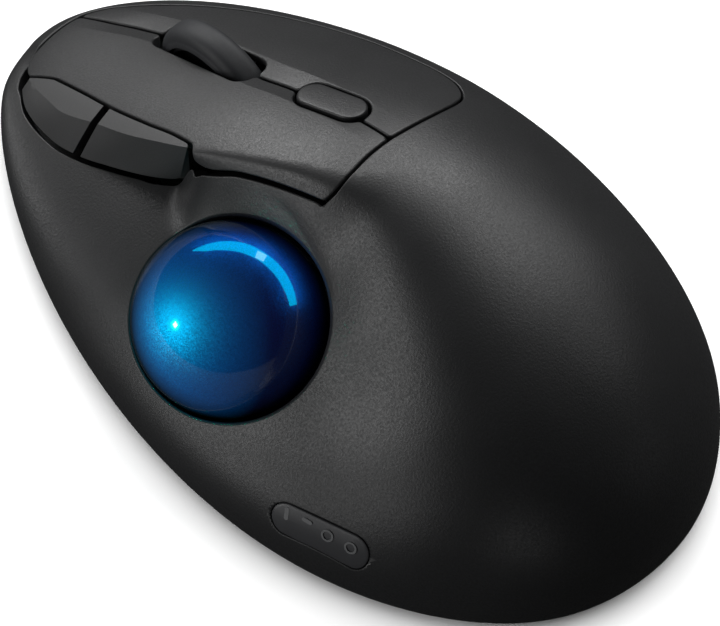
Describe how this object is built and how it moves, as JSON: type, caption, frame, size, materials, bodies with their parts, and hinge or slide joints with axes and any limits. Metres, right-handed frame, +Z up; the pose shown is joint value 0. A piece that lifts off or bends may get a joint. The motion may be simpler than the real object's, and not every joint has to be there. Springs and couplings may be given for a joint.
{
  "type": "trackball mouse",
  "caption": "Right-handed thumb trackball mouse: tall palm hump, low thumb shelf holding a blue ball, two main keys, scroll wheel, two thumb keys and a pointer-speed key.",
  "frame": {"origin": "on the table, under the middle of the plan bounding box", "axes": "+Y to the front (wheel end), +X to the user's right, +Z up"},
  "size_m": [0.0908, 0.1527, 0.0476],
  "materials": {
    "case_plastic": "fine matte texture, charcoal",
    "button_plastic": "fine matte texture, dark grey",
    "base_plastic": "matte black",
    "ball_blue": "pearl blue under a clear gloss",
    "wheel_rubber": "satin rubber",
    "hub_plastic": "dark gloss",
    "window_plastic": "smoked translucent plastic",
    "cup_plastic": "black",
    "ceramic": "polished white ceramic",
    "board_green": "solder mask over laminate",
    "switch_black": "moulded black",
    "plunger_red": "moulded red",
    "steel": "plated steel",
    "lens_clear": "clear moulded optic",
    "cell_wrap": "plain dark wrap",
    "foot_ptfe": "low-friction pad",
    "carrier_plastic": "natural acetal",
    "cable": "light cable jacket"
  },
  "bodies": {
    "base": {"top_case": "case_plastic", "bottom_case": "base_plastic", "usb_receiver": "base_plastic", "status_window": "window_plastic", "ball_cup": "cup_plastic", "bearing_bead_1": "ceramic", "bearing_bead_2": "ceramic", "bearing_bead_3": "ceramic", "main_board": "board_green", "side_board": "board_green", "upper_board": "board_green", "sensor_board": "board_green", "status_board": "board_green", "left_switch_body": "switch_black", "right_switch_body": "switch_black", "forward_switch_body": "switch_black", "back_switch_body": "switch_black", "dpi_switch_body": "switch_black", "wheel_switch_body": "switch_black", "pairing_switch_body": "switch_black", "sensor_chip": "switch_black", "button_hinge_rod": "steel", "positive_contact": "steel", "negative_contact": "steel", "contact_spring": "steel", "case_screw_1": "steel", "case_screw_2": "steel", "case_screw_3": "steel", "case_screw_4": "steel", "power_switch_body": "steel", "sensor_lens": "lens_clear", "light_guide": "lens_clear", "aa_cell": "cell_wrap", "foot_front": "foot_ptfe", "foot_left": "foot_ptfe", "foot_right": "foot_ptfe", "foot_rear_left": "foot_ptfe", "foot_rear_right": "foot_ptfe", "sensor_cable": "cable"},
    "trackball": {"trackball": "ball_blue"},
    "left_button": {"left_button": "button_plastic"},
    "right_button": {"right_button": "button_plastic"},
    "forward_button": {"forward_button": "button_plastic"},
    "back_button": {"back_button": "button_plastic"},
    "dpi_button": {"dpi_button": "button_plastic"},
    "wheel_carrier": {"wheel_carrier": "carrier_plastic", "encoder_body": "switch_black"},
    "scroll_wheel": {"scroll_tyre": "wheel_rubber", "scroll_hub": "hub_plastic", "scroll_axle": "steel", "encoder_rotor": "carrier_plastic"},
    "left_plunger": {"left_switch_plunger": "plunger_red"},
    "right_plunger": {"right_switch_plunger": "plunger_red"},
    "forward_plunger": {"forward_switch_plunger": "plunger_red"},
    "back_plunger": {"back_switch_plunger": "plunger_red"},
    "dpi_plunger": {"dpi_switch_plunger": "plunger_red"},
    "wheel_plunger": {"wheel_switch_plunger": "plunger_red"},
    "power_knob": {"power_switch_knob": "foot_ptfe"},
    "pairing_button": {"pairing_button": "base_plastic"},
    "battery_door": {"battery_door": "base_plastic"}
  },
  "joints": [
    {"name": "trackball_spin", "type": "hinge", "parent": "base", "child": "trackball", "pos_m": [-0.024, 0.002, 0.0234], "axis": [0, 1, 0], "continuous": true},
    {"name": "left_button_press", "type": "hinge", "parent": "base", "child": "left_button", "pos_m": [0, -0.005, 0.035], "axis": [-1, 0, 0], "range_deg": [0, 0.45], "stiffness_Nm_per_rad": 0.6, "springref_deg": -0.57},
    {"name": "right_button_press", "type": "hinge", "parent": "base", "child": "right_button", "pos_m": [0, -0.005, 0.035], "axis": [-1, 0, 0], "range_deg": [0, 0.45], "stiffness_Nm_per_rad": 0.6, "springref_deg": -0.57},
    {"name": "forward_button_press", "type": "slide", "parent": "base", "child": "forward_button", "axis": [0.45, 0, -0.893], "range_m": [0, 0.00045], "stiffness_N_per_m": 60, "springref_m": -0.0005},
    {"name": "back_button_press", "type": "slide", "parent": "base", "child": "back_button", "axis": [0.45, 0, -0.893], "range_m": [0, 0.00045], "stiffness_N_per_m": 60, "springref_m": -0.0005},
    {"name": "dpi_button_press", "type": "slide", "parent": "base", "child": "dpi_button", "axis": [0, 0, -1], "range_m": [0, 0.0005], "stiffness_N_per_m": 60, "springref_m": -0.0005},
    {"name": "wheel_press", "type": "slide", "parent": "base", "child": "wheel_carrier", "axis": [0, 0, -1], "range_m": [0, 0.0006], "stiffness_N_per_m": 200, "springref_m": -0.001},
    {"name": "wheel_spin", "type": "hinge", "parent": "wheel_carrier", "child": "scroll_wheel", "pos_m": [0.009, 0.0382, 0.0196], "axis": [1, 0, 0], "continuous": true},
    {"name": "left_plunger_travel", "type": "slide", "parent": "base", "child": "left_plunger", "axis": [0, 0, -1], "range_m": [0, 0.0005]},
    {"name": "right_plunger_travel", "type": "slide", "parent": "base", "child": "right_plunger", "axis": [0, 0, -1], "range_m": [0, 0.0005]},
    {"name": "forward_plunger_travel", "type": "slide", "parent": "base", "child": "forward_plunger", "axis": [1, 0, 0], "range_m": [0, 0.0003]},
    {"name": "back_plunger_travel", "type": "slide", "parent": "base", "child": "back_plunger", "axis": [1, 0, 0], "range_m": [0, 0.0003]},
    {"name": "dpi_plunger_travel", "type": "slide", "parent": "base", "child": "dpi_plunger", "axis": [0, 0, -1], "range_m": [0, 0.0006]},
    {"name": "wheel_plunger_travel", "type": "slide", "parent": "base", "child": "wheel_plunger", "axis": [0, 0, -1], "range_m": [0, 0.0007]},
    {"name": "power_switch_slide", "type": "slide", "parent": "base", "child": "power_knob", "axis": [0, 1, 0], "range_m": [0, 0.0025]},
    {"name": "pairing_button_press", "type": "slide", "parent": "base", "child": "pairing_button", "axis": [0, 0, 1], "range_m": [0, 0.0005]},
    {"name": "battery_door_release", "type": "slide", "parent": "base", "child": "battery_door", "axis": [0, 0, -1], "range_m": [0, 0.02]}
  ],
  "couplings": [
    {"joint": "left_plunger_travel", "follows": "left_button_press", "m_per_rad": 0.0565},
    {"joint": "right_plunger_travel", "follows": "right_button_press", "m_per_rad": 0.0516},
    {"joint": "forward_plunger_travel", "follows": "forward_button_press", "ratio": 0.45},
    {"joint": "back_plunger_travel", "follows": "back_button_press", "ratio": 0.45},
    {"joint": "dpi_plunger_travel", "follows": "dpi_button_press", "ratio": 1},
    {"joint": "wheel_plunger_travel", "follows": "wheel_press", "ratio": 1}
  ]
}
